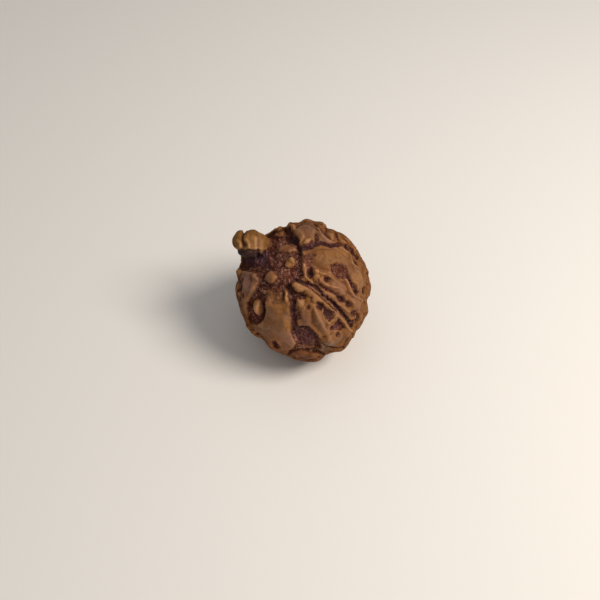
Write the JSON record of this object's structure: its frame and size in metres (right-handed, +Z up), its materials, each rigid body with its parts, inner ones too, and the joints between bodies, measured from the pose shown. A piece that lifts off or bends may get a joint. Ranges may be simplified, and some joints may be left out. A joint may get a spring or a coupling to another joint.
{
  "type": "rudraksha seed",
  "caption": "Dried rudraksha seed stone: a round, deeply lobed and pitted woody ball with seam lines and one stubby trunk-like outgrowth, resting on a small worn flat spot.",
  "frame": {"origin": "on the surface that the seed rests on, under the middle of its bounding box, at the worn flat spot", "axes": "+Z up, -Z the outward normal of the worn flat spot; the outgrowth stands on the -X side, upward and a little towards +Y; -Y is the front, which shows the bottom end of the straight seam"},
  "size_m": [0.0224, 0.0228, 0.0223],
  "materials": {
    "seed_skin": "satin"
  },
  "bodies": {
    "root": {"rudraksha_seed": "seed_skin"}
  },
  "joints": []
}
